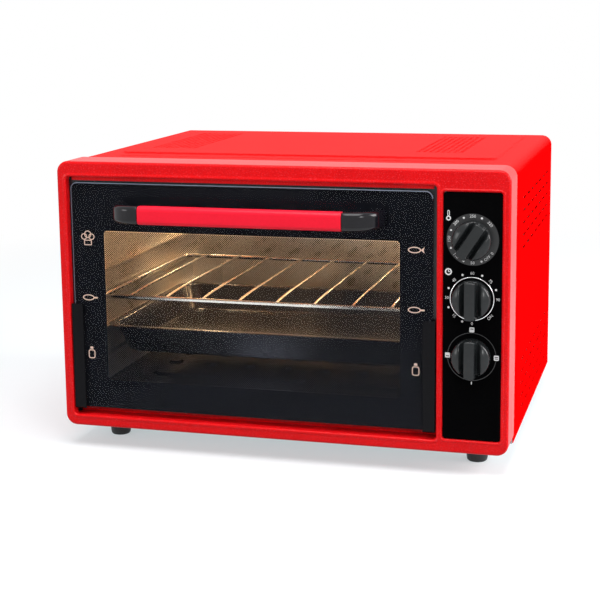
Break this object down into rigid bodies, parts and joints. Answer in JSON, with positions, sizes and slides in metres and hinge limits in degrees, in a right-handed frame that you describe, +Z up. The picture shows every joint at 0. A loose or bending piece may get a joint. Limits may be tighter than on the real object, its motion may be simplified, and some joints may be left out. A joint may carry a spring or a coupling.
{
  "type": "electric oven",
  "caption": "Counter-top electric oven with a drop-down glass door, a bar handle, rotary knobs, a wire rack and a baking tray.",
  "frame": {"origin": "centre of the bounding box in plan, on the ground under the feet", "axes": "+X to the right seen from the front, -Y towards the front and the door, +Z up"},
  "size_m": [0.5, 0.4408, 0.325],
  "materials": {
    "shell_red": "smooth stove enamel, satin gloss",
    "frame_red": "moulded, finely textured",
    "handle_red": "glossy",
    "door_glass": "toughened, printed black round a clear window",
    "trim_black": "glossy",
    "handle_black": "glossy",
    "panel_black": "glossy with a printed dial round each knob",
    "knob_black": "glossy",
    "enamel_black": "glossy vitreous enamel",
    "cavity_steel": "aluminised, satin",
    "zinc_sheet": "galvanised, dull",
    "shaft_steel": "turned",
    "screw_steel": "zinc plated",
    "chrome": "bright plated",
    "heater_sheath": "heat-darkened",
    "lamp_glass": "clear",
    "ceramic": "unglazed",
    "copper": "bare copper",
    "wire_cover": "heat-proof silicone",
    "pale_plastic": "moulded",
    "black_rubber": "matt"
  },
  "bodies": {
    "case": {"outer_shell": "shell_red", "front_frame": "frame_red", "back_panel": "zinc_sheet", "base_panel": "zinc_sheet", "cavity_front": "enamel_black", "cavity_left_wall": "cavity_steel", "cavity_right_wall": "cavity_steel", "cavity_back_wall": "cavity_steel", "cavity_roof": "cavity_steel", "cavity_floor": "enamel_black", "heat_shield": "zinc_sheet", "control_panel": "panel_black", "control_bracket": "zinc_sheet", "timer_ring": "chrome", "thermostat_body": "zinc_sheet", "thermostat_bulb": "copper", "bulb_clip": "zinc_sheet", "timer_body": "zinc_sheet", "timer_bell": "chrome", "selector_body": "pale_plastic", "upper_heater": "heater_sheath", "upper_heater_plate": "zinc_sheet", "upper_heater_hook": "zinc_sheet", "lower_heater": "heater_sheath", "lower_heater_plate": "zinc_sheet", "lower_heater_hook": "zinc_sheet", "lamp_lens": "lamp_glass", "lamp_bulb": "lamp_glass", "lamp_socket": "ceramic", "lamp_holder": "zinc_sheet", "terminal_block": "pale_plastic", "cord_bushing": "black_rubber", "supply_wire": "wire_cover", "control_wire": "wire_cover", "hinge_bracket_left": "zinc_sheet", "hinge_bracket_right": "zinc_sheet", "foot_front_left": "black_rubber", "foot_front_right": "black_rubber", "foot_rear_left": "black_rubber", "foot_rear_right": "black_rubber", "foot_screw_front_left": "screw_steel", "foot_screw_front_right": "screw_steel", "foot_screw_rear_left": "screw_steel", "foot_screw_rear_right": "screw_steel"},
    "door": {"door_glass": "door_glass", "door_bracket_left": "trim_black", "door_bracket_right": "trim_black", "handle_bar": "handle_red", "handle_end_left": "handle_black", "handle_end_right": "handle_black", "handle_screw_left": "screw_steel", "handle_screw_right": "screw_steel"},
    "thermostat_control": {"thermostat_knob": "knob_black", "thermostat_shaft": "shaft_steel"},
    "timer_control": {"timer_knob": "knob_black", "timer_shaft": "shaft_steel"},
    "selector_control": {"selector_knob": "knob_black", "selector_shaft": "shaft_steel"},
    "rack": {"wire_rack": "chrome"},
    "tray": {"baking_tray": "enamel_black"}
  },
  "joints": [
    {"name": "door_hinge", "type": "hinge", "parent": "case", "child": "door", "pos_m": [0, -0.1714, 0.051], "axis": [1, 0, 0], "range_deg": [0, 90]},
    {"name": "thermostat_turn", "type": "hinge", "parent": "case", "child": "thermostat_control", "pos_m": [0.211, -0.1824, 0.253], "axis": [0, 1, 0], "range_deg": [-263, 14]},
    {"name": "timer_turn", "type": "hinge", "parent": "case", "child": "timer_control", "pos_m": [0.211, -0.1824, 0.1915], "axis": [0, 1, 0], "range_deg": [-225, 90]},
    {"name": "selector_turn", "type": "hinge", "parent": "case", "child": "selector_control", "pos_m": [0.211, -0.1824, 0.13], "axis": [0, 1, 0], "range_deg": [-180, 90]},
    {"name": "rack_slide", "type": "slide", "parent": "case", "child": "rack", "axis": [0, -1, 0], "range_m": [0, 0.1]},
    {"name": "tray_slide", "type": "slide", "parent": "case", "child": "tray", "axis": [0, -1, 0], "range_m": [0, 0.1]}
  ],
  "couplings": [
    {"joint": "rack_slide", "follows": "door_hinge", "m_per_rad": 0.06366},
    {"joint": "tray_slide", "follows": "door_hinge", "m_per_rad": 0.06366}
  ]
}
